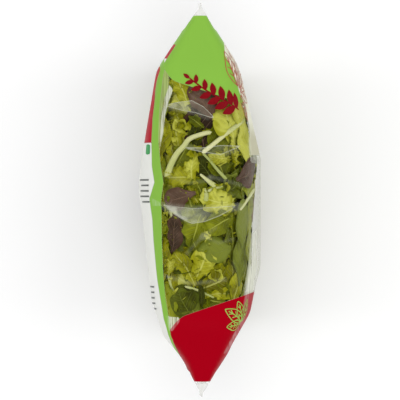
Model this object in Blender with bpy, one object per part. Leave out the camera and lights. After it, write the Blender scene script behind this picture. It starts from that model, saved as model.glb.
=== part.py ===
"""A sealed pillow bag of salad leaves, lying on one of its narrow sides.

The bag's length runs along Y, with its top seal at +Y. Its thickness runs along X, with the
front panel at +X and the back panel at -X. The other narrow side faces up, along +Z. The whole
bag, film and leaves together, is one closed solid out to the film, and it stands on the flat
that its own weight presses into the lower narrow side. All sizes are in metres.
"""

import math

import bmesh
import bpy
import numpy as np

# Driving sizes of the filled bag.
LENGTH = 0.300  # from the tip of one end seal to the tip of the other
BODY_HEIGHT = 0.152  # from the flat underside to the upper narrow side, at the middle
EAR_HEIGHT = 0.181  # the upper corner of both end seals
REST_PRESS = 0.007  # how far the weight flattens the round lower side

# The two panels' profiles: place along Y, and how far the panel stands out from the seals' plane.
FRONT_PROFILE = (
    (0.1500, 0.0006),
    (0.1039, 0.0286),
    (0.0985, 0.0306),
    (0.0693, 0.0379),
    (0.0306, 0.0468),
    (0.0228, 0.0464),
    (-0.0520, 0.0464),
    (-0.0623, 0.0434),
    (-0.0870, 0.0383),
    (-0.1120, 0.0236),
    (-0.1165, 0.0220),
    (-0.1500, 0.0014),
)
BACK_PROFILE = (
    (0.1500, 0.0000),
    (0.1002, 0.0325),
    (0.0925, 0.0341),
    (0.0383, 0.0433),
    (0.0150, 0.0464),
    (0.0070, 0.0464),
    (-0.0313, 0.0418),
    (-0.0778, 0.0364),
    (-0.1087, 0.0263),
    (-0.1165, 0.0188),
    (-0.1242, 0.0134),
    (-0.1500, -0.0002),
)
PROFILE_BLEND = 0.004  # how softly a profile turns at its points

# The seals: two films welded flat over the whole width of the bag.
SEAL_DEPTH = 0.010  # how far a seal reaches in from its tip
FILM_PAIR = 0.0012  # thickness of the welded pair
CORNER_START = 0.0005  # from the tip, where the narrow side's own fold starts to open
CORNER_RUN = 0.0060  # length over which it opens
SEAL_WAVE = 0.0008  # how far a seal waves out of its plane
SEAL_WAVELENGTH = 0.088
WAVE_REACH = 0.030  # how far into the bag the wave is felt

# The upper narrow side: a level body and a sloping triangle, or ear, up to each seal's corner.
EAR_RUN = 0.055
EAR_BLEND = 0.0016  # how softly the body turns into an ear
SHOULDER_DIP = 0.004  # the upper side is this much lower at the shoulders than at the middle

# The section is a superellipse, boxy near the seals and rounder at the belly.
BOXY_POWER = 5.0
ROUND_POWER = 2.5
BOXY_FROM = 0.115  # distance from the middle where the section is fully boxy
ROUND_UNTIL = 0.020

# Creases pressed across the upper side: place along Y, slant, depth, half width.
FOLDS = (
    (0.070, -0.10, 0.0022, 0.0045),
    (0.036, 0.04, 0.0030, 0.0050),
    (-0.011, -0.06, 0.0042, 0.0065),
    (-0.042, 0.35, 0.0022, 0.0045),
)
FOLD_REACH = 0.035  # how far down from the upper side a crease is felt

AROUND = 48  # points in a ring, a multiple of four
RING_GAP = 0.0055  # between rings along the body
FOLD_GAP = 0.0028  # between rings at the creases and the seals

HALF_LENGTH = LENGTH / 2


def smooth_step(low, high, value):
    """0 below low, 1 above high and an even S between."""
    t = np.clip((value - low) / (high - low), 0.0, 1.0)
    return t * t * (3.0 - 2.0 * t)


def smooth_max(a, b, blend):
    """The larger of a and b, rounded where they cross."""
    return blend * math.log(math.exp(a / blend) + math.exp(b / blend))


def from_tip(y):
    """Distance from the nearer seal's tip."""
    return HALF_LENGTH - abs(y)


def panel_reach(y, profile):
    """How far a panel stands out at the station y: its profile, averaged over a short stretch."""
    places, reaches = zip(*reversed(profile))
    blend = min(PROFILE_BLEND, from_tip(y))
    stretch = np.linspace(y - blend, y + blend, 9)
    return float(np.interp(stretch, places, reaches).mean())


def middle_and_half(y):
    """Middle plane and half thickness of the bag at the station y."""
    front = panel_reach(y, FRONT_PROFILE)
    back = panel_reach(y, BACK_PROFILE)
    return (front - back) / 2, max((front + back) / 2, FILM_PAIR / 2)


def upper_side(y):
    """Height of the upper narrow side at the station y."""
    shoulder = BODY_HEIGHT - SHOULDER_DIP
    body = shoulder + SHOULDER_DIP * math.cos(math.pi / 2 * min(abs(y) / (HALF_LENGTH - EAR_RUN), 1.0))
    ear = shoulder + (EAR_HEIGHT - shoulder) * (1.0 - from_tip(y) / EAR_RUN)
    return smooth_max(body, ear, EAR_BLEND)


def section_power(y):
    """Exponent of the section's superellipse at the station y."""
    return ROUND_POWER + (BOXY_POWER - ROUND_POWER) * smooth_step(ROUND_UNTIL, BOXY_FROM, abs(y))


def seal_wave(y, z):
    """Sideways shift of the film at the end seals, dying out towards the body."""
    fade = 1.0 - smooth_step(0.0, WAVE_REACH, from_tip(y))
    phase = 0.9 if y > 0 else 2.3
    return SEAL_WAVE * fade * np.sin(2 * math.pi * z / SEAL_WAVELENGTH + phase)


def panel_opening(y, height_share):
    """Share of the half thickness that a panel has reached at the station y.

    The panels leave the welded seal at its inner edge. At the corners the film is a fold and
    not two welded edges, so it opens almost from the tip.
    """
    corner = smooth_step(0.78, 0.95, height_share)
    start = SEAL_DEPTH + (CORNER_START - SEAL_DEPTH) * corner
    run = SEAL_DEPTH + (CORNER_RUN - SEAL_DEPTH) * corner
    return smooth_step(0.0, 1.0, (from_tip(y) - start) / run)


def fold_depth(x, y, below_top):
    """How deep the creases press into the upper side."""
    depth = np.zeros_like(x)
    for place, slant, deep, half_width in FOLDS:
        off = (y - place - slant * x) / half_width
        depth += deep * np.exp(-off * off)
    return depth * (1.0 - smooth_step(0.0, FOLD_REACH, below_top))


def ring(y):
    """The section at the station y as AROUND points, from the middle of the upper side."""
    angle = 2 * math.pi * np.arange(AROUND) / AROUND
    power = section_power(y)
    top = upper_side(y)
    across = np.sign(np.sin(angle)) * np.abs(np.sin(angle)) ** (2 / power)
    upright = np.sign(np.cos(angle)) * np.abs(np.cos(angle)) ** (2 / power)
    press = REST_PRESS * smooth_step(0.0, 2 * SEAL_DEPTH, from_tip(y) - SEAL_DEPTH)
    half_height = (top + press) / 2
    z = top - half_height + half_height * upright
    middle, full_half = middle_and_half(y)
    half = FILM_PAIR / 2 + (full_half - FILM_PAIR / 2) * panel_opening(y, np.abs(upright))
    x = middle + half * across
    z = z - fold_depth(x, y, top - z)
    x = x + seal_wave(y, z)
    return np.stack([x, np.full(AROUND, y), np.maximum(z, 0.0)], axis=1)


def stations():
    """Where the rings lie along Y, closer together at the seals and the creases."""
    places = [-HALF_LENGTH]
    fine = [(fold[0], 3 * fold[3]) for fold in FOLDS]
    while places[-1] < HALF_LENGTH - FOLD_GAP:
        y = places[-1]
        near_seal = from_tip(y) < 2 * SEAL_DEPTH
        near_fold = any(abs(y - place) < reach for place, reach in fine)
        places.append(y + (FOLD_GAP if near_seal or near_fold else RING_GAP))
    places[-1] = HALF_LENGTH
    return places


def bag_mesh():
    """The closed skin: rings joined to their neighbours, and a strip across each seal's tip."""
    bm = bmesh.new()
    rings = [[bm.verts.new(point) for point in ring(y)] for y in stations()]
    for lower, upper in zip(rings, rings[1:]):
        for k in range(AROUND):
            following = (k + 1) % AROUND
            bm.faces.new((lower[k], lower[following], upper[following], upper[k]))
    for tip in (rings[0], rings[-1]):
        for k in range(AROUND // 2):
            corners = [tip[k], tip[k + 1], tip[-k - 1], tip[-k % AROUND]]
            bm.faces.new(list(dict.fromkeys(corners)))
    bmesh.ops.recalc_face_normals(bm, faces=bm.faces)
    mesh = bpy.data.meshes.new("salad_bag")
    bm.to_mesh(mesh)
    bm.free()
    mesh.shade_smooth()
    mesh.set_sharp_from_angle(angle=math.radians(40))
    return mesh


def film_material():
    """Clear glossy film over green leaves."""
    material = bpy.data.materials.new("film_over_leaves")
    material.use_nodes = True
    shader = material.node_tree.nodes["Principled BSDF"]
    shader.inputs["Base Color"].default_value = (0.30, 0.42, 0.08, 1.0)
    shader.inputs["Roughness"].default_value = 0.2
    shader.inputs["Metallic"].default_value = 0.0
    return material


def build():
    """Clear the scene and make the bag, centred over the origin."""
    for thing in list(bpy.data.objects):
        bpy.data.objects.remove(thing, do_unlink=True)
    mesh = bag_mesh()
    corners = np.array([vertex.co[:] for vertex in mesh.vertices])
    middle = (corners.min(axis=0) + corners.max(axis=0)) / 2
    for vertex in mesh.vertices:
        vertex.co.x -= middle[0]
        vertex.co.y -= middle[1]
    bag = bpy.data.objects.new("salad_bag", mesh)
    bag.data.materials.append(film_material())
    bpy.context.scene.collection.objects.link(bag)


build()
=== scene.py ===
"""Looks of the bag of salad leaves: printed film, its contents, a floor, lights and a camera.

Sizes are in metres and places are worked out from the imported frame. Along the bag is Y, with
its top seal at +Y; the front panel is at +X, the back panel at -X, and +Z is up.
"""

import math

import bpy
import numpy as np
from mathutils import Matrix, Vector


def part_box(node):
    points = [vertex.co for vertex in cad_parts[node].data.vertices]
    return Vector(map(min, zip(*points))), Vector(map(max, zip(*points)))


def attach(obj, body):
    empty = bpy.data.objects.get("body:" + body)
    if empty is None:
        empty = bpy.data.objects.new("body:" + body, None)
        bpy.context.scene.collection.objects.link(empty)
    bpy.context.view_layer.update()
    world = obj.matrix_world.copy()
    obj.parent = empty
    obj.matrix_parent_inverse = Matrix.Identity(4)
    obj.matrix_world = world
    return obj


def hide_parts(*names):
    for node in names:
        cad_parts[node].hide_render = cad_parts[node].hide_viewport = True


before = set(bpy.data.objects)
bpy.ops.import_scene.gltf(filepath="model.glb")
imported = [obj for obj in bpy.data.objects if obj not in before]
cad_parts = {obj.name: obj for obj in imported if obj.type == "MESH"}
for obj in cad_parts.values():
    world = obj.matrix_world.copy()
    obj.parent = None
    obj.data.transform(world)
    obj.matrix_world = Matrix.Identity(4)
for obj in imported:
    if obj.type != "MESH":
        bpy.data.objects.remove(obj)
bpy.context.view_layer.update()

NODE = "salad_bag"
LOW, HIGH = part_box(NODE)
HALF_LENGTH = (HIGH[1] - LOW[1]) / 2
EAR_HEIGHT = HIGH[2]
BODY_HEIGHT = 0.84 * EAR_HEIGHT  # the upper side at the middle, as in the solid

# The film's form, after the solid's, and a little slimmer at the back panel's lower end. The
# profiles give, for a place along Y, how far each panel stands out from the seals' plane.
FRONT_PROFILE = (
    (0.15, 0.0006), (0.1039, 0.0286), (0.0985, 0.0306), (0.0693, 0.0379), (0.0306, 0.0468),
    (0.0228, 0.0464), (-0.052, 0.0464), (-0.0623, 0.0434), (-0.087, 0.0383), (-0.112, 0.0236),
    (-0.1165, 0.022), (-0.15, 0.0014),
)
BACK_PROFILE = (
    (0.15, 0.0), (0.1002, 0.0325), (0.0925, 0.0341), (0.0383, 0.0433), (0.015, 0.0464),
    (0.007, 0.0464), (-0.0313, 0.0418), (-0.0778, 0.0364), (-0.106, 0.027), (-0.1113, 0.0216),
    (-0.1165, 0.017), (-0.1242, 0.0118), (-0.1304, 0.0088), (-0.1343, 0.008), (-0.15, -0.0002),
)
PROFILE_BLEND = 0.004  # how softly a profile turns at its points
SEAL_DEPTH = 0.010
FILM_PAIR = 0.0010  # thickness of the two welded films
CORNER = (0.78, 0.95)  # share of the half height over which the seal's inner edge turns to a fold
CORNER_START = 0.0005  # the fold opens from here, measured from the tip
CORNER_RUN = 0.0060  # and over this length
SEAL_WAVE = 0.0008  # how far a seal waves out of its plane
SEAL_WAVELENGTH = 0.088
WAVE_PHASES = (0.9, 2.3)  # at the top and at the bottom seal
WAVE_REACH = 0.030
EAR_RUN = 0.055  # length of the slope up to each seal's corner
EAR_BLEND = 0.0040
SHOULDER_DIP = 0.004
BOXY_POWER = 5.0  # the section's exponent near the seals
ROUND_POWER = 2.5  # and at the belly
BOXY_FROM = 0.115
ROUND_UNTIL = 0.020
REST_PRESS = 0.007  # how far the weight flattens the round lower side
PROFILE_MIDDLE = (max(x for _, x in FRONT_PROFILE) - max(x for _, x in BACK_PROFILE)) / 2
TINY = 1e-9  # keeps a division from zero

# The film's grid: rings along the bag, and points around each ring from the top's middle. It
# settles on a coarser grid of the same kind.
RINGS = 225
AROUND = 288
SOLVE_RINGS = 150
SOLVE_AROUND = 192


def smooth_step(low, high, value):
    """0 below low, 1 above high and an even S between."""
    t = np.clip((value - low) / (high - low), 0.0, 1.0)
    return t * t * (3.0 - 2.0 * t)


def smooth_max(a, b, blend):
    """The larger of a and b, rounded where they cross."""
    return blend * np.logaddexp(a / blend, b / blend)


def from_tip(y):
    """Distance from the nearer seal's tip."""
    return HALF_LENGTH - np.abs(y)


def panel_reach(y, profile):
    """How far a panel stands out at y: its profile, averaged over a short stretch."""
    places, reaches = zip(*reversed(profile))
    y = np.asarray(y, float)
    blend = np.minimum(PROFILE_BLEND, from_tip(y))
    stretch = [y + share * blend for share in np.linspace(-1, 1, 9)]
    return np.mean([np.interp(at, places, reaches) for at in stretch], axis=0)


def middle_and_half(y):
    """Middle plane and half thickness of the bag at y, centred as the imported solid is."""
    front, back = panel_reach(y, FRONT_PROFILE), panel_reach(y, BACK_PROFILE)
    return (front - back) / 2 - PROFILE_MIDDLE, np.maximum((front + back) / 2, FILM_PAIR / 2)


def upper_side(y):
    """Height of the upper narrow side at y."""
    shoulder = BODY_HEIGHT - SHOULDER_DIP
    turn = np.minimum(np.abs(y) / (HALF_LENGTH - EAR_RUN), 1.0)
    body = shoulder + SHOULDER_DIP * np.cos(math.pi / 2 * turn)
    ear = shoulder + (EAR_HEIGHT - shoulder) * (1.0 - from_tip(y) / EAR_RUN)
    return smooth_max(body, ear, EAR_BLEND)


def skin_rings(y, angle):
    """The bag's smooth skin at each y and angle, as an array of rings."""
    y = np.asarray(y, float)[:, None]
    angle = np.asarray(angle, float)[None, :]
    power = ROUND_POWER + (BOXY_POWER - ROUND_POWER) * smooth_step(ROUND_UNTIL, BOXY_FROM, abs(y))
    across = np.sign(np.sin(angle)) * np.abs(np.sin(angle)) ** (2 / power)
    upright = np.sign(np.cos(angle)) * np.abs(np.cos(angle)) ** (2 / power)
    top = upper_side(y)
    press = REST_PRESS * smooth_step(0.0, 2 * SEAL_DEPTH, from_tip(y) - SEAL_DEPTH)
    half_height = (top + press) / 2
    z = np.maximum(top - half_height + half_height * upright, 0.0)
    corner = smooth_step(*CORNER, np.abs(upright))
    start = SEAL_DEPTH + (CORNER_START - SEAL_DEPTH) * corner
    run = SEAL_DEPTH + (CORNER_RUN - SEAL_DEPTH) * corner
    opened = smooth_step(0.0, 1.0, (from_tip(y) - start) / run)
    middle, full_half = middle_and_half(y)
    half = FILM_PAIR / 2 + (full_half - FILM_PAIR / 2) * opened
    x = middle + half * across
    fade = 1.0 - smooth_step(0.0, WAVE_REACH, from_tip(y))
    phase = np.where(y > 0, *WAVE_PHASES)
    x = x + SEAL_WAVE * fade * np.sin(2 * math.pi * z / SEAL_WAVELENGTH + phase)
    return np.stack([x, np.broadcast_to(y, x.shape), z], axis=2)


def even_rings(y, count):
    """The skin's rings with count points each, evenly spaced around from the top's middle."""
    fine = skin_rings(y, np.linspace(0.0, 2 * math.pi, 4 * count + 1))
    step = np.linalg.norm(np.diff(fine, axis=1), axis=2)
    walked = np.concatenate([np.zeros((len(y), 1)), np.cumsum(step, axis=1)], axis=1)
    rings = np.empty((len(y), count, 3))
    for i, (ring, path) in enumerate(zip(fine, walked)):
        at = np.arange(count) / count * path[-1]
        for axis in range(3):
            rings[i, :, axis] = np.interp(at, path, ring[:, axis])
    return rings


def grid_normals(rings):
    """Outward unit normals of a grid of rings."""
    around = np.roll(rings, -1, axis=1) - np.roll(rings, 1, axis=1)
    along = np.gradient(rings, axis=0)
    normal = np.cross(around, along)
    return normal / np.maximum(np.linalg.norm(normal, axis=2, keepdims=True), TINY)


# ---- The film's shape ----

# Creases that handling left in the upper side, as points in plan, with depth and half width.
CREASES = (
    (((-0.03, 0.0715), (-0.006, 0.0668), (0.006, 0.0625)), 0.0018, 0.003),
    (((-0.01, 0.042), (0.006, 0.0362), (0.017, 0.0345), (0.029, 0.039)), 0.0018, 0.0032),
    (((-0.031, -0.003), (-0.004, -0.0062), (0.029, -0.0046)), 0.002, 0.0032),
    (((-0.026, -0.0075), (-0.006, -0.0185), (0.015, -0.01), (0.029, -0.006)), 0.0016, 0.0034),
    (((-0.01, -0.041), (0.0024, -0.0275), (0.012, -0.0215)), 0.0016, 0.003),
    (((0.0024, -0.0275), (0.014, -0.033), (0.025, -0.03)), 0.0016, 0.0026),
    (((-0.029, 0.02), (-0.008, 0.013), (0.006, 0.015)), 0.0016, 0.003),
    (((0.008, 0.018), (0.033, 0.011)), 0.0018, 0.0028),
    (((-0.027, -0.058), (-0.005, -0.064), (0.019, -0.061)), 0.0018, 0.003),
    (((0.025, -0.048), (0.033, -0.076)), 0.0014, 0.003),
)
# Folds of film with painted highlights: upper and lower edge of each, as points across and along.
SHEENS_ACROSS = (
    (
        (
            (-0.0283, -0.0034), (-0.0153, -0.0057), (-0.0038, -0.0065), (0.0115, -0.0057),
            (0.0268, -0.0046),
        ),
        (
            (-0.0283, -0.0034), (-0.0214, -0.0096), (-0.013, -0.0149), (-0.0061, -0.018),
            (0.0038, -0.0164), (0.0153, -0.0119), (0.0268, -0.005),
        ),
    ),
    (
        ((-0.0245, 0.073), (-0.0168, 0.0746), (-0.0061, 0.076), (0.0023, 0.0715), (0.0099, 0.064)),
        ((-0.0245, 0.0715), (-0.013, 0.0685), (-0.0038, 0.0669), (0.0099, 0.0627)),
    ),
    (
        ((-0.0107, 0.0402), (0.0008, 0.0398), (0.0153, 0.0417), (0.0306, 0.0413)),
        ((-0.0107, 0.0394), (0.0008, 0.0371), (0.0153, 0.0348), (0.0245, 0.0386), (0.0306, 0.041)),
    ),
)
# Painted highlight strips along the bag: left and right edge of each, as points along and across.
GLEAMS_ALONG = (
    (
        (
            (0.04, -0.0306), (0.0532, -0.0306), (0.0646, -0.0295), (0.0761, -0.0272),
            (0.0838, -0.0268), (0.088, -0.0244),
        ),
        (
            (0.04, -0.0299), (0.0524, -0.0272), (0.0646, -0.026), (0.0761, -0.023),
            (0.0826, -0.0205), (0.085, -0.0203), (0.088, -0.023),
        ),
    ),
    (
        ((-0.05, 0.0388), (-0.025, 0.04), (-0.02, 0.0436), (0.0, 0.0436)),
        ((-0.05, 0.044), (-0.025, 0.0448), (-0.02, 0.0448), (0.0, 0.0448)),
    ),
    (((-0.086, 0.0315), (-0.048, 0.0375)), ((-0.086, 0.0392), (-0.048, 0.044))),
    (
        ((-0.1005, -0.0236), (-0.088, -0.0262)),
        (
            (-0.1005, -0.0205), (-0.093, -0.015), (-0.0898, -0.015), (-0.0893, -0.0215),
            (-0.088, -0.024),
        ),
    ),
    (
        ((-0.118, 0.0165), (-0.1, 0.0262), (-0.086, 0.0345), (-0.074, 0.0375)),
        ((-0.118, 0.019), (-0.1, 0.032), (-0.086, 0.042), (-0.074, 0.044)),
    ),
    (
        ((0.027, 0.0425), (0.033, 0.0395), (0.04, 0.0364), (0.052, 0.0366), (0.066, 0.035)),
        ((0.027, 0.047), (0.033, 0.05), (0.04, 0.05), (0.052, 0.05), (0.066, 0.044)),
    ),
    (
        ((-0.005, -0.036), (-0.0005, -0.0372), (0.002, -0.0378)),
        ((-0.005, -0.029), (-0.0015, -0.03), (0.002, -0.037)),
    ),
)
# Whitish, finely wrinkled film clear of the leaves, partly a painted reflection; edges as above.
VEILS_ALONG = (
    (
        ((0.0279, 0.0383), (0.0379, 0.0363), (0.0532, 0.0368), (0.07, 0.034)),
        ((0.0279, 0.05), (0.07, 0.05)),
    ),
    (
        (
            (-0.09, 0.03), (-0.0692, 0.0329), (-0.0478, 0.0362), (-0.025, 0.0383),
            (-0.0225, 0.0428), (0.012, 0.044), (0.03, 0.044),
        ),
        ((-0.09, 0.05), (0.03, 0.05)),
    ),
    (
        ((0.043, -0.035), (0.078, -0.0345), (0.086, -0.0345), (0.1, -0.032)),
        ((0.043, -0.03), (0.0646, -0.0288), (0.078, -0.0262), (0.086, -0.0232), (0.1, -0.0225)),
    ),
)
OVER = 0.45  # bright folds and strips belong to what lies above this share of the height
# Further creases over the other sides, at random: count, farthest place along, share of the way
# around, share of it that is the underside, spread of the lean and extra lean on the panels, and
# length, half width and depth.
PANEL_CREASES = 26
PANEL_CREASE_END = 0.105
PANEL_CREASE_AROUND = (0.22, 0.78)
UNDERSIDE = (0.38, 0.62)
PANEL_CREASE_LEAN = (0.6, 1.4)
PANEL_CREASE_LENGTH = (0.012, 0.035)
PANEL_CREASE_WIDTH = 0.003
PANEL_CREASE_DEPTH = (0.0008, 0.0022)
SLACK_NARROW = 0.030  # extra film along the two narrow sides, as a share of their length
SLACK_PANEL = 0.006
SLACK_AROUND = 0.010
NARROW = (0.55, 0.95)  # a narrow side ends between these shares of the half thickness
SLACK_ENDS = (0.03, 0.07)  # from the tip, where the slack along the bag sets in
SLACK_AROUND_ENDS = (0.015, 0.05)
PUFF = 0.0007  # how far the film may stand off the smooth skin
SINK = 0.0022  # how far it may lie inside it, besides the creases
PRESSURE = 0.00003  # outward push of the air at each step
BEND_STIFFNESS = 0.10
STRETCH_STIFFNESS = 0.9
RELAX_STEPS = 160
FILM_SEED = 7
PINNED = 0.008  # the film is held this far in from the tips
FREE_FROM = 0.040  # and wholly free from here
UNEVENNESS = 0.0006  # of the film at the start
SMOOTHINGS = 4  # how many times this is smoothed
CREASE_SINK = 1.2  # how far a crease may sink, as a share of its depth
CREASE_FULL = 0.0024  # a crease of this depth shows at its full strength


def distance_to_path(x, y, path):
    """Plan distance from each point to a path of straight pieces."""
    best = np.full(np.shape(x), np.inf)
    for (ax, ay), (bx, by) in zip(path, path[1:]):
        dx, dy = bx - ax, by - ay
        t = np.clip(((x - ax) * dx + (y - ay) * dy) / (dx * dx + dy * dy), 0.0, 1.0)
        best = np.minimum(best, np.hypot(x - ax - t * dx, y - ay - t * dy))
    return best


def girths(rings):
    """The length around each ring."""
    return np.linalg.norm(rings - np.roll(rings, -1, axis=1), axis=2).sum(axis=1)


def crease_field(rings):
    """Depth of the pressed creases at each point of the film's grid."""
    girth = girths(rings)
    rng = np.random.default_rng(FILM_SEED)
    x, y, z = np.moveaxis(rings, 2, 0)
    depth = np.zeros_like(x)
    top_half = z > upper_side(y) / 2
    for path, deep, width in CREASES:
        off = distance_to_path(x, y, path) / width
        depth = np.where(top_half, depth + deep * np.exp(-off * off), depth)
    around = np.linspace(0.0, 1.0, rings.shape[1], endpoint=False)
    for _ in range(PANEL_CREASES):
        at_y = rng.uniform(-PANEL_CREASE_END, PANEL_CREASE_END)
        at_around = rng.uniform(*PANEL_CREASE_AROUND)
        spread, more = PANEL_CREASE_LEAN
        lean = rng.normal(0.0, spread) + (0.0 if UNDERSIDE[0] < at_around < UNDERSIDE[1] else more)
        length = rng.uniform(*PANEL_CREASE_LENGTH)
        off_around = (around[None, :] - at_around) * girth[:, None]
        off_y = y - at_y
        run = off_around * math.cos(lean) + off_y * math.sin(lean)
        side = -off_around * math.sin(lean) + off_y * math.cos(lean)
        fade = np.exp(-((run / length) ** 4)) * np.exp(-((side / PANEL_CREASE_WIDTH) ** 2))
        depth += rng.uniform(*PANEL_CREASE_DEPTH) * fade
    return depth


def between_field(run, off, low_edge, high_edge):
    """How far inside a stretch between two edges every point lies, negative outside."""
    low_at, low = zip(*low_edge)
    high_at, high = zip(*high_edge)
    return least(
        off - np.interp(run, low_at, low), np.interp(run, high_at, high) - off,
        run - max(low_at[0], high_at[0]), min(low_at[-1], high_at[-1]) - run,
    )


def shine_fields(rings):
    """How far inside the painted highlights and the veils every point of the upper side lies."""
    x, y, z = np.moveaxis(rings, 2, 0)
    over = z - OVER * upper_side(y)
    sheens = [between_field(x, y, low, high) for high, low in SHEENS_ACROSS]
    gleams = [between_field(y, x, low, high) for low, high in GLEAMS_ALONG]
    veils = [between_field(y, x, low, high) for low, high in VEILS_ALONG]
    found = {"sheen": sheens, "gleam": gleams, "veil": veils}
    return {name: least(np.maximum.reduce(fields), over) for name, fields in found.items()}


def link_sets(rings):
    """Groups of links in which no point comes twice: first ends, second ends, rest, stiffness."""
    rows, columns = rings.shape[:2]
    index = np.arange(rows * columns).reshape(rows, columns)
    y = rings[:, :, 1]
    middle, half = middle_and_half(y)
    x_share = np.abs(rings[:, :, 0] - middle) / half
    narrow = (1.0 - smooth_step(*NARROW, x_share)) * smooth_step(*SLACK_ENDS, from_tip(y))
    slack_along = SLACK_PANEL + (SLACK_NARROW - SLACK_PANEL) * narrow
    slack_around = SLACK_AROUND * smooth_step(*SLACK_AROUND_ENDS, from_tip(y))
    flat = rings.reshape(-1, 3)
    sets = []

    def add(a, b, stiffness, along_weight, around_weight):
        a, b = a.ravel(), b.ravel()
        base = np.linalg.norm(flat[b] - flat[a], axis=1)
        grow = along_weight * slack_along.ravel()[a] + around_weight * slack_around.ravel()[a]
        sets.append((a, b, base * (1.0 + grow), stiffness))

    following = np.roll(index, -1, axis=1)
    second = np.roll(index, -2, axis=1)
    for parity in (0, 1):
        add(index[:, parity::2], following[:, parity::2], STRETCH_STIFFNESS, 0, 1)
        lower = index[parity:-1:2]
        upper = index[parity + 1::2][:len(lower)]
        add(lower, upper, STRETCH_STIFFNESS, 1, 0)
        for lean in (-1, 1):
            add(lower, np.roll(upper, lean, axis=1), STRETCH_STIFFNESS / 2, 0.5, 0.5)
        every = np.flatnonzero((np.arange(columns) // 2) % 2 == parity)
        add(index[:, every], second[:, every], BEND_STIFFNESS, 0, 1)
        every = np.flatnonzero((np.arange(rows - 2) // 2) % 2 == parity)
        add(index[every], index[every + 2], BEND_STIFFNESS, 1, 0)
    return sets


def relax_film(rings):
    """Lets the slack film settle into creases between the contents and its own stretch."""
    rng = np.random.default_rng(FILM_SEED + 1)
    normal = grid_normals(rings)
    crease = crease_field(rings)
    free = smooth_step(PINNED, FREE_FROM, from_tip(rings[:, :, 1]))[:, :, None]
    links = link_sets(rings)
    noise = rng.normal(0.0, 1.0, rings.shape[:2])
    for _ in range(SMOOTHINGS):
        noise = (noise + np.roll(noise, 1, 1) + np.roll(noise, -1, 1)) / 3
        noise[1:-1] = (noise[:-2] + noise[1:-1] + noise[2:]) / 3
    noise *= UNEVENNESS / noise.std()
    points = (rings + normal * ((noise - crease)[:, :, None] * free)).reshape(-1, 3)
    base = rings.reshape(-1, 3)
    flat_normal = normal.reshape(-1, 3)
    out_most = (PUFF * free[:, :, 0]).ravel()
    in_most = ((SINK + CREASE_SINK * crease) * free[:, :, 0]).ravel()
    pinned = (from_tip(rings[:, :, 1]) < PINNED).ravel()
    for _ in range(RELAX_STEPS):
        now = grid_normals(points.reshape(rings.shape)).reshape(-1, 3)
        points += PRESSURE * now * free.reshape(-1, 1)
        for a, b, rest, stiffness in links:
            apart = points[b] - points[a]
            length = np.linalg.norm(apart, axis=1)
            move = (stiffness * 0.5 * (length - rest) / np.maximum(length, TINY))[:, None] * apart
            points[a] += move
            points[b] -= move
        off = np.einsum("ij,ij->i", points - base, flat_normal)
        points += flat_normal * (np.clip(off, -in_most, out_most) - off)[:, None]
        points[pinned] = base[pinned]
        points[:, 2] = np.maximum(points[:, 2], 0.0)
    return points.reshape(rings.shape)


def spline(a, b, c, d, f):
    """The point at share f between b and c on a smooth curve through a, b, c and d."""
    return b + 0.5 * f * (c - a + f * (2 * a - 5 * b + 4 * c - d + f * (3 * (b - c) + d - a)))


def finer(grid, rows, columns):
    """A grid of rings resampled to more rows and columns on smooth curves."""

    def curve(values, count, closed):
        size = len(values)
        at = np.arange(count) / count * size if closed else np.linspace(0, size - 1, count)
        i = np.minimum(at.astype(int), size - 1 if closed else size - 2)
        f = (at - i).reshape((-1,) + (1,) * (values.ndim - 1))
        ends = [i - 1, i, i + 1, i + 2]
        return spline(*[values[k % size if closed else np.clip(k, 0, size - 1)] for k in ends], f)

    along = curve(grid, rows, False)
    return curve(along.swapaxes(0, 1), columns, True).swapaxes(0, 1)


def film_grid():
    """The base skin and the settled film, as matching fine grids of rings."""
    base = even_rings(np.linspace(-HALF_LENGTH, HALF_LENGTH, SOLVE_RINGS), SOLVE_AROUND)
    film = relax_film(base)
    return finer(base, RINGS, AROUND), finer(film, RINGS, AROUND)


def grid_mesh(name, rings):
    """A closed mesh over rings, faces outward, with a strip across the first and last ring."""
    count, around = rings.shape[:2]
    index = np.arange(count * around).reshape(count, around)
    following = np.roll(index, -1, axis=1)
    sides = np.stack([index[:-1], following[:-1], following[1:], index[1:]], axis=2).reshape(-1, 4)
    faces = sides.tolist()
    half = around // 2
    for tip in (index[0], index[-1, ::-1]):
        faces += [[tip[k], tip[-k - 1], tip[-k - 2], tip[k + 1]] for k in range(half - 1)]
    mesh = bpy.data.meshes.new(name)
    mesh.from_pydata(rings.reshape(-1, 3).tolist(), [], faces)
    mesh.shade_smooth()
    return mesh


def placed(name, data, spot=(0.0, 0.0, 0.0)):
    """A new object in the scene, at a spot."""
    thing = bpy.data.objects.new(name, data)
    thing.location = spot
    bpy.context.scene.collection.objects.link(thing)
    return thing


def new_piece(name, mesh, material):
    """Puts a piece on the bag's one body. Film and contents together stand for the solid."""
    piece = placed(name, mesh)
    mesh.materials.append(material)
    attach(piece, "root")
    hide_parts(NODE)
    return piece


# ---- The print, as fields over the film ----

TOP_CLEAR = 0.0095  # bare film at the top seal, from its tip
BOTTOM_CLEAR = 0.0115
# The edges of the fields at the top and the bottom: place along at the middle, slope across,
# where the edge turns at the left, over what, how much, and up to how many times that reach.
TOP_FIELD = (0.0845, -0.33, -0.018, 0.008, 0.0057, 1.5)
BOTTOM_FIELD = (-0.0843, 0.34, -0.010, 0.0106, -0.0052, 1.6)
BACK_RED = (0.0439, 0.1190)  # the red block on the back panel, from and to
BACK_BAND = (0.1053, 0.0030)  # a white band across it: its middle and half its width
STRIPE_END = -0.1200
CREAM_END = 0.0345
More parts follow.
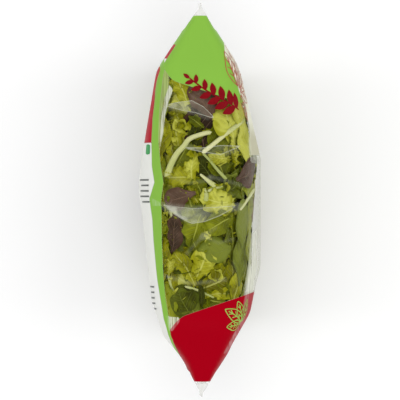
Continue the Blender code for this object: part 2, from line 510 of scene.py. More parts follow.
# The wavy stripe beside the window: place along the bag, left edge and right edge.
STRIPE = (
    (0.0991, -0.0301, -0.0268), (0.0914, -0.0325, -0.0283), (0.0838, -0.0337, -0.0291),
    (0.0761, -0.0342, -0.0301), (0.0627, -0.0358, -0.0309), (0.0455, -0.0367, -0.0314),
    (0.026, -0.0364, -0.0297), (0.0135, -0.0344, -0.0276), (0.001, -0.0382, -0.0293),
    (-0.015, -0.036, -0.029), (-0.031, -0.0351, -0.0288), (-0.0515, -0.0332, -0.028),
    (-0.0616, -0.0321, -0.0273), (-0.076, -0.0297, -0.0259), (-0.0903, -0.0274, -0.0235),
    (-0.097, -0.0254, -0.0229), (-0.1037, -0.0236, -0.0219), (-0.1094, -0.0211, -0.0197),
    (-0.119, -0.0164, -0.0149),
)
# Where the green field gives way to the cream strip of the front panel: place along, across.
CREAM_EDGE = (
    (0.125, 0.0175), (0.1105, 0.0187), (0.1013, 0.0237), (0.0914, 0.0272), (0.0822, 0.0297),
    (0.0738, 0.0335), (0.057, 0.0372), (0.0379, 0.0384),
)
BACK_CREASE = 0.0028  # the back facet's crease lies this far in from the bag's outline


def edge_across(y, edge):
    """Where a printed edge, given as places along and across, lies at y."""
    places, across = zip(*reversed(edge))
    return np.interp(y, places, across)


def field_edge(x, height, slope, start, reach, lift, most):
    """Edge of a printed field in plan: a slanting line that turns up or down at the left."""
    turn = np.maximum((start - x) / reach, 0.0)
    return height + slope * x + lift * np.minimum(turn, most) ** 2


def least(*fields):
    """The smallest of several fields, point by point."""
    return np.minimum.reduce(np.broadcast_arrays(*fields))


def print_fields(base):
    """How far inside each printed field every film point lies, in metres, negative outside."""
    x, y = base[:, :, 0], base[:, :, 1]
    left, right = [edge_across(y, [(row[0], row[side]) for row in STRIPE]) for side in (1, 2)]
    middle, half = middle_and_half(y)
    cream_edge = edge_across(y, CREAM_EDGE)
    back_crease = middle - half + BACK_CREASE
    above_bottom = y + HALF_LENGTH - BOTTOM_CLEAR
    below_top = HALF_LENGTH - TOP_CLEAR - y
    back_edge = np.where(y > STRIPE[0][0], back_crease, left)
    wrap = CREAM_EDGE[0][0]
    green = least(
        y - field_edge(x, *TOP_FIELD), np.maximum(cream_edge - x, y - wrap),
        np.maximum(x - back_crease, y - BACK_RED[1]), below_top,
    )
    back_red = least(back_edge - x, y - BACK_RED[0], BACK_RED[1] - y)
    band = BACK_BAND[1] - np.abs(y - BACK_BAND[0])
    white = least(back_edge - x, np.maximum(BACK_RED[0] - y, band), above_bottom)
    stripe = least(x - left, right - x, y - STRIPE_END)
    red_edge = np.where(y > STRIPE_END, right, left)
    bottom_red = least(field_edge(x, *BOTTOM_FIELD) - y, x - red_edge, above_bottom)
    cream = least(x - cream_edge, y - CREAM_END, wrap - y)
    return dict(
        cream=cream, back_red=back_red, white=white, stripe=stripe, bottom_red=bottom_red, green=green
    )


# ---- Materials ----

INK_EDGE = 0.00025  # half the softness of a printed edge
CRIMP_TURNS = 2 * math.pi / 0.0022  # ridges pressed into the welded seals, radians per metre


def linear(red, green, blue):
    """A colour given as it looks on a screen, 0 to 255, as linear light with full alpha."""
    share = np.array((red, green, blue)) / 255.0
    light = np.where(share <= 0.04045, share / 12.92, ((share + 0.055) / 1.055) ** 2.4)
    return (*light.tolist(), 1.0)


INKS = {
    "cream": linear(218, 219, 198),
    "back_red": linear(168, 8, 30),
    "white": linear(219, 220, 214),
    "stripe": linear(128, 175, 68),
    "bottom_red": linear(156, 0, 20),
    "green": linear(129, 178, 67),
}


def operator(name, swapped=False):
    """A method that feeds a value and another one to a Math node."""

    def apply(value, other=0.0):
        pair = (other, value) if swapped else (value, other)
        return value.shader.math(name, *pair)

    return apply


class Value:
    """A grey value among a material's nodes. Each operator on it makes one Math node."""

    def __init__(self, shader, socket):
        self.shader = shader
        self.socket = socket

    __add__ = operator("ADD")
    __sub__ = operator("SUBTRACT")
    __rsub__ = operator("SUBTRACT", swapped=True)
    __mul__ = operator("MULTIPLY")
    __truediv__ = operator("DIVIDE")
    __pow__ = operator("POWER")
    __abs__ = operator("ABSOLUTE")


MIX_SOCKETS = {"RGBA": (6, 7, 2), "FLOAT": (2, 3, 0)}  # a Mix node's two inputs and output


class Shader:
    """Short names for building the nodes of one material or world."""

    def __init__(self, owner):
        owner.use_nodes = True
        self.owner = owner
        self.tree = owner.node_tree

    def feed(self, socket, value):
        """Sets a socket, or links it to a value, a node's first output or another socket."""
        if isinstance(value, Value):
            value = value.socket
        if isinstance(value, bpy.types.Node):
            value = value.outputs[0]
        if isinstance(value, bpy.types.NodeSocket):
            self.tree.links.new(value, socket)
        else:
            socket.default_value = value

    def fill(self, node, inputs):
        """Feeds a node's sockets by their names."""
        for name, value in inputs.items():
            self.feed(node.inputs[name.replace("_", " ")], value)
        return node

    def node(self, kind, **inputs):
        """A new node with the given inputs."""
        return self.fill(self.tree.nodes.new(kind), inputs)

    def finish(self, last="Principled BSDF", **inputs):
        """The owner, with the sockets of its last shader fed."""
        self.fill(self.tree.nodes[last], inputs)
        return self.owner

    def math(self, operation, a, b=0.0, clamp=False):
        """The result of one Math node."""
        made = self.node("ShaderNodeMath")
        made.operation = operation
        made.use_clamp = clamp
        self.feed(made.inputs[0], a)
        self.feed(made.inputs[1], b)
        return Value(self, made.outputs[0])

    def most(self, a, b, clamp=False):
        """The larger of two values."""
        return self.math("MAXIMUM", a, b, clamp)

    def field(self, name):
        """The value of a named attribute."""
        made = self.node("ShaderNodeAttribute")
        made.attribute_name = name
        return Value(self, made.outputs["Fac"])

    def ramp(self, value, low, high, to_low=0.0, to_high=1.0):
        """A value mapped from one range to another, smoothly and clamped."""
        made = self.node("ShaderNodeMapRange")
        made.interpolation_type = "SMOOTHSTEP"
        for socket, given in zip(made.inputs, (value, low, high, to_low, to_high)):
            self.feed(socket, given)
        return Value(self, made.outputs[0])

    def blend(self, share, first, second, kind="RGBA"):
        """Two colours, or two numbers, mixed by a share."""
        made = self.node("ShaderNodeMix")
        made.data_type = kind
        one, two, result = MIX_SOCKETS[kind]
        for index, given in ((0, share), (one, first), (two, second)):
            self.feed(made.inputs[index], given)
        return made.outputs[result]

    def noise(self, vector, scale, detail=3.0, roughness=0.5):
        """A noise texture's grey value."""
        made = self.node(
            "ShaderNodeTexNoise", Vector=vector, Scale=scale, Detail=detail, Roughness=roughness
        )
        return Value(self, made.outputs["Fac"])

    def place(self):
        """The point in the piece's own space, in metres."""
        return self.node("ShaderNodeTexCoord").outputs["Object"]

    def axes(self, vector):
        """The three parts of a vector."""
        return [Value(self, part) for part in self.node("ShaderNodeSeparateXYZ", Vector=vector).outputs]

    def leaf_axes(self):
        """How far along and across its sheet a point of a leaf lies, as shares."""
        leaf = self.node("ShaderNodeUVMap")
        leaf.uv_map = "leaf"
        return self.axes(leaf)[:2]

    def bump(self, height, strength, distance):
        """A bumped normal."""
        return self.node(
            "ShaderNodeBump", Strength=strength, Distance=distance, Height=height
        ).outputs["Normal"]


def new_material(name):
    """Node helpers over a new material."""
    return Shader(bpy.data.materials.new(name))


# The bare film's colour, also that of the painted highlights on it.
BARE_FILM_AND_SHEEN = linear(206, 209, 190)
WELDED_FILM = linear(224, 224, 220)
# Painted shade on the cream print near the window.
CREAM_SHADE_COLOUR = linear(186, 184, 158)
# The veils' colours, partly a painted reflection.
BACK_VEIL = linear(160, 178, 108)
FRONT_VEIL = linear(204, 206, 188)
# Colour of the painted highlight where a gleam crosses the print.
INK_HIGHLIGHT_COLOUR = linear(238, 238, 236)
SEAL_TURN = (-0.0003, 0.0003)  # over this the clear film turns into the welded seal
# Along the bag, where the cream print gets its painted shade.
CREAM_SHADE_STRETCH = (0.046, 0.062, 1.0, 0.0)  # along the bag
CREAM_SOFT = 0.0004
GRAZING = (8.0, 0.80, 0.003)  # bare film's milk: its rise at a grazing view, how high, and the least
UPPER = (0.092, 0.138)  # heights over which folds, gleams, veils and creases come in
SOFT = 0.0008  # the softness of their edges
VEIL_SOFT = 0.0012
INK_SOFT = 0.0010
VEIL_TURN = (-0.02, 0.02)  # across, from the back veil's colour to the front veil's
STREAK_STRETCH = (900.0, 60.0, 60.0)  # of the space that the streaks are made in
STREAKS = (1.0, 2.0)  # scale and detail
PATCHES = (95.0, 1.5)
FINE_RELIEF = (240.0, 2.0, 0.55)  # scale, detail and roughness of the film's fine unevenness
COARSE_RELIEF = (70.0, 2.0)
FINE_SHARE = 0.35
RIDGE_SHARE = 1.5
FILM_BUMP = (0.05, 0.0012)
MIRRORING = 0.85
FILM_ROUGHNESS = (0.20, 0.38)  # bare and printed
# Painted highlight, veil and seal strengths: each a range of what it follows and values at its ends.
FOLD_PATCHES = (0.35, 0.60, 0.30, 0.72)
FOLD_ACROSS = (-0.018, 0.008, 1.0, 0.22)
FOLD_ALONG = (0.015, 0.035, 1.0, 0.5)
FOLD_RIM = (0.0001, 0.0005, 0.42, 0.0)
GLEAM_STREAKS = (0.30, 0.55, 0.30, 0.84)
VEIL_STREAKS = (0.30, 0.65, 0.30, 0.58)
VEIL_ACROSS = (-0.01, 0.01, 0.36, 0.0)
# Creases whiten the film, partly as a painted highlight.
CREASE_WHITENING_AND_SHEEN = (0.35, 1.1, 0.0, 0.14)
WELD_MILK = (*SEAL_TURN, 0.0, 0.62)
INK_HIGHLIGHT_STREAKS = (0.35, 0.60, 0.05, 0.20)
INK_HIGHLIGHT_HEIGHT = (0.120, 0.142)


def film_colour(s, across, along, height, streaks):
    """Colour of bare film and inks, with painted shade and highlight on the print, and how far ink
    covers it.
    """
    colour = s.blend(s.ramp(s.field("seal"), *SEAL_TURN), BARE_FILM_AND_SHEEN, WELDED_FILM)
    covered = None
    for name, ink in INKS.items():
        inside = s.ramp(s.field(name), -INK_EDGE, INK_EDGE)
        colour = s.blend(inside, colour, ink)
        covered = inside if covered is None else s.most(covered, inside)
    # Painted shade on the cream print towards the window.
    painted_cream_shade = s.ramp(s.field("cream"), 0.0, CREAM_SOFT) * s.ramp(along, *CREAM_SHADE_STRETCH)
    colour = s.blend(painted_cream_shade, colour, CREAM_SHADE_COLOUR)
    # The veils' whitish colour, partly a painted reflection.
    veil_colour = s.blend(s.ramp(across, *VEIL_TURN), BACK_VEIL, FRONT_VEIL)
    veiled = s.ramp(s.field("veil"), 0.0, INK_SOFT) * (1.0 - covered)
    colour = s.blend(veiled, colour, veil_colour)
    # Painted highlight on the print, in streaks, on the upper side.
    ink_highlight = s.ramp(s.field("gleam"), 0.0, INK_SOFT) * s.ramp(streaks, *INK_HIGHLIGHT_STREAKS)
    ink_highlight = ink_highlight * s.ramp(height, *INK_HIGHLIGHT_HEIGHT)
    return s.blend(ink_highlight * covered, colour, INK_HIGHLIGHT_COLOUR), covered


def film_haze_and_painted_highlights(s, place, across, along, height, streaks, welded):
    """Bare film's milk: painted highlight at folds and gleams, partly painted at veils and creases;
    seals.
    """
    sheen = s.field("sheen")
    # Painted highlight across the folds, in patches.
    fold = s.ramp(sheen, 0.0, SOFT) * s.ramp(s.noise(place, *PATCHES), *FOLD_PATCHES)
    fold = fold * (s.ramp(across, *FOLD_ACROSS) * s.ramp(along, *FOLD_ALONG))
    # Painted highlight in streaks along the gleams.
    strip = s.ramp(s.field("gleam"), 0.0, SOFT) * s.ramp(streaks, *GLEAM_STREAKS)
    # Whitish haze at the veils, partly a painted reflection.
    veil_haze_and_reflection = s.ramp(streaks, *VEIL_STREAKS) + s.ramp(across, *VEIL_ACROSS)
    veil_haze_and_reflection = s.ramp(s.field("veil"), 0.0, VEIL_SOFT) * veil_haze_and_reflection
    # Whitening along the creases, partly a painted highlight.
    pressed = s.ramp(s.field("crease"), *CREASE_WHITENING_AND_SHEEN)
    # The folds' bright rims are painted highlights too.
    shine_and_whitening = s.most(fold + s.ramp(abs(sheen), *FOLD_RIM), s.most(strip, pressed))
    return s.most(s.ramp(height, *UPPER) * s.most(shine_and_whitening, veil_haze_and_reflection), welded)


def film_material():
    """Clear glossy film with opaque printed fields, painted highlights and some painted shade."""
    s = new_material("printed_film")
    place = s.place()
    across, along, height = s.axes(place)
    stretched = s.node("ShaderNodeMapping", Vector=place, Scale=STREAK_STRETCH)
    streaks = s.noise(stretched, *STREAKS)
    colour, covered = film_colour(s, across, along, height, streaks)
    welded = s.ramp(s.field("seal"), *WELD_MILK)
    facing = Value(s, s.node("ShaderNodeLayerWeight", Blend=0.5).outputs["Facing"])
    power, rise, least_milk = GRAZING
    clear = facing**power * rise + least_milk
    film = clear + film_haze_and_painted_highlights(s, place, across, along, height, streaks, welded)
    ridges = s.math("SINE", height * CRIMP_TURNS)
    relief = s.noise(place, *FINE_RELIEF) * FINE_SHARE + s.noise(place, *COARSE_RELIEF)
    relief = relief + ridges * welded * RIDGE_SHARE
    return s.finish(
        Base_Color=colour,
        Metallic=(1.0 - covered) * (clear / film * MIRRORING),
        Roughness=s.ramp(covered, 0.0, 1.0, *FILM_ROUGHNESS),
        Alpha=s.most(film, covered, clamp=True),
        Normal=s.bump(relief, *FILM_BUMP),
        Specular_IOR_Level=0.01,
    )


MOTTLING = (0.3, 0.7)  # the noise's range that becomes a mottled tone
FLOOR_SCALE = 3.0
FLOOR_TONES = ((0.93, 0.93, 0.93, 1.0), (0.95, 0.95, 0.95, 1.0))


def floor_material():
    """A plain pale studio floor."""
    s = new_material("floor_paint")
    tone = s.ramp(s.noise(s.place(), FLOOR_SCALE), *MOTTLING)
    return s.finish(Base_Color=s.blend(tone, *FLOOR_TONES), Roughness=0.9)


# Painted shading of the puckers between a leaf's side veins:
PAINTED_PUCKER_SHADING = 0.4  # how much lighter a leaf is midway between its side veins
FORKING = 0.32  # how far towards the tip the side veins run on their way out
MARGIN_SHARE = 0.75
CLOUDS = (45.0, 2.0)  # scale and detail of a leaf's broad patches
BLOTCHES = (160.0, 3.0)  # and of its fine ones
CLOUD_WEIGHTS = (0.5, 0.10, 2.0)  # on the place across, on the side veins and on the tone
BLOTCH_WEIGHT = 0.6
MEAN_BEAT = 0.27  # the distance from a side vein that leaves the tone as it is
# Ranges for a leaf's looks, with the values at their ends where these aren't 0 and 1.
DEEP_TO_MAIN = (0.0, 0.55)
MAIN_TO_LIGHT = (0.45, 1.0)
MARGIN_ACROSS = (0.55, 1.0)
MARGIN_BLOTCHES = (0.25, 0.65)
SIDE_VEIN = (0.0, 0.11, 1.0, 0.0)
SIDE_VEIN_ACROSS = (0.3, 1.0, 0.65, 0.0)
MIDRIB = (0.55, 1.15, 1.0, 0.0)
MIDRIB_END = 1.15  # where the midrib would taper to nothing, as a share of the leaf's length
LEAF_RELIEF = (0.8, 0.9)  # how far ribs and blotches stand out
LEAF_BUMP = (0.6, 0.0008)
# Each kind of leaf: name, deep, main, light, rib and margin colour, side veins, width of the
# midrib, and how strongly the ribs show.
LEAF_LOOKS = {
    "frilly": (
        "light_lettuce",
        ((92, 91, 0), (139, 139, 8), (180, 182, 74), (198, 200, 108), (132, 134, 2)), 7, 0.13, 0.45,
    ),
    "green": (
        "green_lettuce",
        ((58, 64, 0), (92, 98, 3), (128, 134, 22), (152, 158, 60), (100, 110, 4)), 8, 0.10, 0.75,
    ),
    "dark": (
        "dark_leaf",
        ((46, 49, 0), (76, 83, 10), (110, 119, 38), (122, 132, 56), (70, 80, 6)), 6, 0.05, 0.5,
    ),
    "red": (
        "red_leaf",
        ((48, 34, 20), (80, 60, 46), (112, 92, 78), (122, 96, 76), (72, 42, 28)), 6, 0.05, 0.75,
    ),
}


def leaf_material(name, colours, veins, rib_width, rib_share):
    """A leaf's two faces: blotches, painted shade between the forked side veins, pale midrib, tinted
    margin.
    """
    deep, main, light, rib, edge = [linear(*colour) for colour in colours]
    s = new_material(name)
    along, off_middle = s.leaf_axes()
    place = s.place()
    blotch = s.noise(place, *BLOTCHES)
    cloud = s.noise(place, *CLOUDS) - 0.5
    on_across, on_veins, on_tone = CLOUD_WEIGHTS
    across = abs((off_middle - 0.5) * 2.0 + cloud * on_across)
    beat = s.math("FRACT", (along - across * FORKING + cloud * on_veins) * float(veins))
    beat = abs(beat - 0.5)
    share = s.field("tone") + cloud * on_tone + (blotch - 0.5) * BLOTCH_WEIGHT
    # Painted shade and light between the side veins.
    share = share + (beat - MEAN_BEAT) * PAINTED_PUCKER_SHADING
    colour = s.blend(s.ramp(share, *DEEP_TO_MAIN), deep, main)
    colour = s.blend(s.ramp(share, *MAIN_TO_LIGHT), colour, light)
    margin = s.ramp(across, *MARGIN_ACROSS) * s.ramp(blotch, *MARGIN_BLOTCHES)
    colour = s.blend(margin * MARGIN_SHARE, colour, edge)
    side = s.ramp(beat, *SIDE_VEIN) * s.ramp(across, *SIDE_VEIN_ACROSS)
    ribs = s.most(s.ramp(across / ((MIDRIB_END - along) * rib_width), *MIDRIB), side)
    raised, grain = LEAF_RELIEF
    return s.finish(
        Base_Color=s.blend(ribs * rib_share, colour, rib),
        Roughness=0.42,
        Specular_IOR_Level=0.07,
        Normal=s.bump(ribs * raised + blotch * grain, *LEAF_BUMP),
    )


# ---- The contents ----

FILM_GAP = 0.0007  # between the film and the nearest leaf
LEAST_INSET = 0.0012
NEAR = 2  # steps of the film's grid over which the leaves keep clear of its folds
LEAST_DEPTH = 0.0005  # under the contents' skin
PRESS_SOFTNESS = 0.003
DEEPEST = 0.024
LEAF_END = 0.118  # no leaf reaches further along the bag than this
# Where the film stands clear of the leaves at the front panel: place along the bag, gap.
FRONT_GAP = (
    (-0.11, 0.005), (-0.077, 0.005), (-0.05, 0.005), (-0.02, 0.0045), (0.01, 0.002),
    (0.03, 0.0005), (0.05, 0.0015), (0.07, 0.002), (0.09, 0.0045), (0.11, 0.005),
)
BACK_GAP = ((-0.11, 0.0), (0.06, 0.0), (0.09, 0.002), (0.11, 0.003))


class Surface:
    """A skin read by distance around the bag, from the top's middle, and place along it."""

    def __init__(self, rings, base):
        self.rings = rings
        self.normals = grid_normals(base)
        self.y = base[:, 0, 1]
        self.girth = girths(base)

    def at(self, around, along, depth):
        """Points at these distances around, places along, and depths under the skin."""
        row = np.interp(along, self.y, np.arange(RINGS))
        column = (around / np.interp(along, self.y, self.girth)) % 1.0 * AROUND
        i = np.minimum(row.astype(int), RINGS - 2)
        j = column.astype(int) % AROUND
        fi, fj = (row - i)[..., None], (column - np.floor(column))[..., None]
        k = (j + 1) % AROUND

        def mixed(grid):
            near = grid[i, j] * (1 - fj) + grid[i, k] * fj
            far = grid[i + 1, j] * (1 - fj) + grid[i + 1, k] * fj
            return near * (1 - fi) + far * fi

        return mixed(self.rings) - mixed(self.normals) * np.asarray(depth)[..., None]

    def around_over(self, x, y):
        """Distance around, from the top's middle, of the upper side's points over x at y."""
        quarter = AROUND // 4
        order = np.arange(-quarter, quarter + 1)
        x, y = np.broadcast_arrays(np.asarray(x, float), np.asarray(y, float))
        rows = np.clip(np.searchsorted(self.y, y), 0, RINGS - 1)
        found = [
            np.interp(over, self.rings[row, order % AROUND, 0], order) / AROUND * self.girth[row]
            for over, row in zip(x.ravel(), rows.ravel())
        ]
        return np.array(found).reshape(x.shape)


def contents_skin(base, film):
    """The surface that the leaves reach: the film drawn in, with gaps along both panels."""
    normals = grid_normals(base)
    off = np.einsum("ijk,ijk->ij", film - base, normals)
    low = np.minimum.reduce([np.roll(off, shift, axis=1) for shift in range(-NEAR, NEAR + 1)])
    padded = np.pad(low, ((NEAR, NEAR), (0, 0)), mode="edge")
    low = np.minimum.reduce([padded[shift:shift + RINGS] for shift in range(2 * NEAR + 1)])
    rings = base + normals * np.minimum(low - FILM_GAP, -LEAST_INSET)[:, :, None]
    y = base[:, :1, 1]
    middle, half = middle_and_half(y)
    share = (rings[:, :, 0] - middle) / half
    for gaps, side in ((FRONT_GAP, 1.0), (BACK_GAP, -1.0)):
        gap = np.interp(y, *zip(*gaps))
        rings[:, :, 0] -= side * gap * np.clip(side * share, 0.0, 1.0) ** 2
    return Surface(rings, base)


# Leaf kinds: where the blade is widest, how full it is, width at the base, lobes on each side
# and their depth, ruffle height and waves, depth of the crinkle, and the grid's rows and columns.
KINDS = {
    "frilly": dict(peak=0.60, full=0.58, base=0.30, lobes=4, lobe=0.09, ruffle=0.0032, waves=3.3,
                   crinkle=0.0009, grid=(30, 15)),
    "green": dict(peak=0.48, full=0.75, base=0.22, lobes=3, lobe=0.07, ruffle=0.0016, waves=2.6,
                  crinkle=0.0003, grid=(22, 11)),
    "broad": dict(peak=0.55, full=0.70, base=0.30, lobes=2, lobe=0.05, ruffle=0.0012, waves=2.0,
                  crinkle=0.0004, grid=(20, 11)),
    "dark": dict(peak=0.50, full=0.62, base=0.15, lobes=2, lobe=0.04, ruffle=0.0010, waves=2.0,
                 crinkle=0.0, grid=(20, 11)),
    "red": dict(peak=0.48, full=0.66, base=0.15, lobes=2, lobe=0.04, ruffle=0.0013, waves=2.4,
                crinkle=0.0, grid=(20, 11)),
}
FINE = 1.8  # the leaves that show have a grid finer by this, and a crinkled margin
NOTCH = (0.7, 0.65)  # how sharp the notches between lobes are, and their level
LOBING = (1.6, 0.1, 0.4)  # strength of the lobes, and where along the blade they set in
DRIFT = (0.12, 3.7)  # slow change of the blade's width: how much, and how fast
RUFFLE_SWEEP = 1.2  # how far a ruffle turns aside on its way out to the margin
RUFFLE_FULL = 0.3  # ruffles are lower where half the blade is narrower than this share of it
RUFFLE_RISE = 2.2  # power by which they rise towards the margin
RUFFLE_SHIFT = 0.7  # how far they push the margin along
SECOND_RUFFLE = (0.40, 2.3)  # height and pace of the finer wave
CRINKLE = (5, 4.1)  # power and pace of the margin's crinkle
SWAY = (0.06, 0.6, 1.6)  # sideways bend of a leaf as a share of its length, and its pace


def blade_outline(t, peak, full, base):
    """Half width of a blade as a share, from its base at t = 0 to its tip at t = 1."""
    rising = base + (1.0 - base) * smooth_step(0.0, peak, t)
    falling = np.maximum(1.0 - ((t - peak) / (1.0 - peak)) ** 2, 0.0) ** full
    return np.where(t < peak, rising, falling)


def bent(step, angle):
    """Walks outwards in steps that turn by angle: how far across, and how far up."""
    return np.cumsum(step * np.cos(angle), axis=1), np.cumsum(step * np.sin(angle), axis=1)


def leaf_side(kind, t, s, width, cup, roll, crinkle, rng):
    """One half of a blade, from its midrib out: shift along, place across, and height."""
    phase = rng.uniform(0, 2 * math.pi, 4)
    outline = blade_outline(t, kind["peak"], kind["full"], kind["base"])
    lobes, *lobes_from = LOBING
    scallop = np.abs(np.sin(math.pi * kind["lobes"] * t + phase[0])) ** NOTCH[0] - NOTCH[1]
    drift = DRIFT[0] * np.sin(DRIFT[1] * t + phase[3])
    scallop = kind["lobe"] * lobes * scallop * smooth_step(*lobes_from, t)
    half = width / 2 * outline * (1.0 + scallop + drift)
    wave = 2 * math.pi * kind["waves"] * t + phase[1] + RUFFLE_SWEEP * s
    step = np.broadcast_to(half / (s.shape[1] - 1), (t.shape[0], s.shape[1])).copy()
    step[:, 0] = 0.0
    across, up = bent(step, cup * s + roll * s**3)
    reach = np.minimum(half / (RUFFLE_FULL * width), 1.0)
    height = kind["ruffle"] * reach * s**RUFFLE_RISE
    up = up + height * (np.sin(wave) + SECOND_RUFFLE[0] * np.sin(SECOND_RUFFLE[1] * wave + phase[2]))
    up = up + crinkle * reach * s**CRINKLE[0] * np.sin(CRINKLE[1] * wave + phase[0])
    return RUFFLE_SHIFT * height * np.cos(wave), across, up


def leaf_form(kind, length, width, cup, roll, arch, rng, fine):
    """One leaf's grid in its own space: along its midrib, across it, and up towards the film."""
    k = KINDS[kind]
    rows, columns = k["grid"]
    if fine:
        rows = round(FINE * rows)
        columns = 2 * round(FINE * columns / 2) + 1
    crinkle = k["crinkle"] if fine else 0.0
    t = np.linspace(0.0, 1.0, rows)[:, None]
    s = np.linspace(0.0, 1.0, columns // 2 + 1)[None, :]
    right = leaf_side(k, t, s, width, cup, roll, crinkle, rng)
    left = leaf_side(k, t, s, width, cup, roll, crinkle, rng)
    shift, across, up = [
        np.concatenate([sign * one[:, :0:-1], other], axis=1)
        for sign, one, other in zip((1, -1, 1), left, right)
    ]
    turn = arch * (t - 0.5)
    step = np.full_like(t, length / (rows - 1))
    run = np.cumsum(step * np.cos(turn), axis=0)
    rise = np.cumsum(step * np.sin(-turn), axis=0)
    most, *pace = SWAY
    sway = most * length * np.sin(math.pi * t * rng.uniform(*pace) + rng.uniform(0, ANY_PHASE))
    return run - run.mean() + shift, across + sway - sway.mean(), up + rise - rise.mean()


class Heap:
    """Gathers the leaves of one kind into one mesh."""

    def __init__(self):
        self.points, self.faces, self.uvs, self.tones, self.count = [], [], [], [], 0

    def add(self, grid, tone=0.0):
        """Adds one sheet given as a grid of points."""
        rows, columns = grid.shape[:2]
        index = np.arange(rows * columns).reshape(rows, columns) + self.count
        corners = [index[:-1, :-1], index[:-1, 1:], index[1:, 1:], index[1:, :-1]]
        t, s = np.meshgrid(np.linspace(0, 1, rows), np.linspace(0, 1, columns), indexing="ij")
        self.faces.append(np.stack(corners, axis=2).reshape(-1, 4))
        self.points.append(grid.reshape(-1, 3))
        self.uvs.append(np.stack([t, s], axis=2).reshape(-1, 2))
        self.tones.append(np.full(rows * columns, tone))
        self.count += rows * columns

    def mesh(self, name):
        """The joined mesh, with its leaf coordinates and each leaf's tone."""
        made = bpy.data.meshes.new(name)
        faces = np.concatenate(self.faces)
        made.from_pydata(np.concatenate(self.points).tolist(), [], faces.tolist())
        layer = made.uv_layers.new(name="leaf")
        corners = np.concatenate(self.uvs)[faces.ravel()]
        layer.uv.foreach_set("vector", corners.ravel().astype(np.float32))
        tone = made.attributes.new("tone", "FLOAT", "POINT")
        tone.data.foreach_set("value", np.concatenate(self.tones).astype(np.float32))
        made.shade_smooth()
        return made


def under_film(deep):
    """Depths kept from coming through the film: what would rise too far is pressed flat."""
    pressed = LEAST_DEPTH * np.exp(np.minimum(deep - LEAST_DEPTH, 0.0) / PRESS_SOFTNESS)
    return np.minimum(np.where(deep < LEAST_DEPTH, pressed, deep), DEEPEST)


def lay_leaf(heap, inside, kind, spot, turn, size, depth, rng, shape, tilt, tone, fine=False):
    """Lays one leaf at a spot (around, along), its midrib turned from +Y, pressed under the film."""
    along, across, up = leaf_form(kind, size[0], size[1], *shape, rng, fine)
    up = up + along * math.tan(tilt[0]) + across * math.tan(tilt[1])
    around = spot[0] - along * math.sin(turn) + across * math.cos(turn)
    place = spot[1] + along * math.cos(turn) + across * math.sin(turn)
    place = np.clip(place, -LEAF_END, LEAF_END)
    heap.add(inside.at(around, place, under_film(depth - up)), tone)


def lay_curl(heap, inside, x, y, radius, depth, height, rng, tone):
    """A rolled leaf end seen from above: a short flaring tube with a wavy, turned-out lip."""
    rows, columns = CURL_GRID
    climb = np.linspace(0.0, 1.0, rows)[:, None]
    angle = np.linspace(0.0, CURL_TURN, columns)[None, :] + rng.uniform(0, ANY_PHASE)
    flare = CURL_FLARE[0] + CURL_FLARE[1] * climb
    ripple = 1.0 + CURL_RIPPLE[0] * climb**2 * np.sin(CURL_RIPPLE[1] * angle + rng.uniform(0, ANY_PHASE))
    reach = radius * flare * ripple * (1.0 + CURL_OVAL * np.cos(2 * angle))
    lip = LIP_DROP * smooth_step(*CURL_LIP, climb) + LIP_WAVE[0] * climb * np.sin(LIP_WAVE[1] * angle)
    deep = depth + height * (1.0 - climb) ** CURL_SLOPE + lip
    around = inside.around_over(x, y) + reach * np.cos(angle)
    heap.add(inside.at(around, y + reach * np.sin(angle), under_film(deep)), tone)


# Random filling: depth, stretch around the bag, leaves, length and width ranges, how steeply they
# may lean, and the shares of the kinds. The last two layers are for the sides where SHOWN has no
# leaves.
MIXED = (("frilly", 0.34), ("green", 0.46), ("dark", 0.07), ("red", 0.13))
PALE = (("frilly", 0.45), ("green", 0.55))
LAYERS = (
    (0.0150, (-0.056, 0.228), 60, (0.040, 0.058), (0.030, 0.044), 0.06, MIXED),
    (0.0110, (-0.056, 0.228), 80, (0.034, 0.052), (0.024, 0.036), 0.12, MIXED),
    (0.0078, (-0.056, 0.228), 90, (0.028, 0.046), (0.020, 0.032), 0.14, MIXED),
    (0.0066, (-0.052, 0.050), 44, (0.026, 0.040), (0.018, 0.028), 0.08, PALE),
    (0.0040, (0.060, 0.225), 70, (0.026, 0.046), (0.018, 0.032), 0.10, MIXED),
    (0.0070, (0.224, 0.250), 24, (0.032, 0.050), (0.024, 0.036), 0.10, MIXED),
)
FILL_ALONG = (-0.088, 0.092)
FILL_JITTER = (0.1, 0.9)  # where a leaf lies in its cell of a layer, as shares
FILL_SHAPE = ((-0.3, 0.9), (-0.2, 0.9), (-0.2, 0.9))  # cup, roll and arch
FILL_SPREAD = 0.0008  # of the depth
FILL_TONES = (0.25, 0.90)
HEAP_SEED = 21
ANY_PHASE = 6.0  # phases are drawn up to this, in radians
CURL_SEED = 4
CURL_GRID = (14, 41)
CURL_TURN = 1.9 * math.pi  # how far round a leaf end is rolled
CURL_FLARE = (0.34, 0.74)  # its radius at the foot, and what it gains to the lip, as shares
CURL_RIPPLE = (0.12, 5)  # of the lip: depth as a share, and number
CURL_OVAL = 0.16
CURL_SLOPE = 1.4
CURL_LIP = (0.78, 1.0)  # share of the climb over which the lip turns out
LIP_DROP = 0.0011
LIP_WAVE = (0.0006, 4)

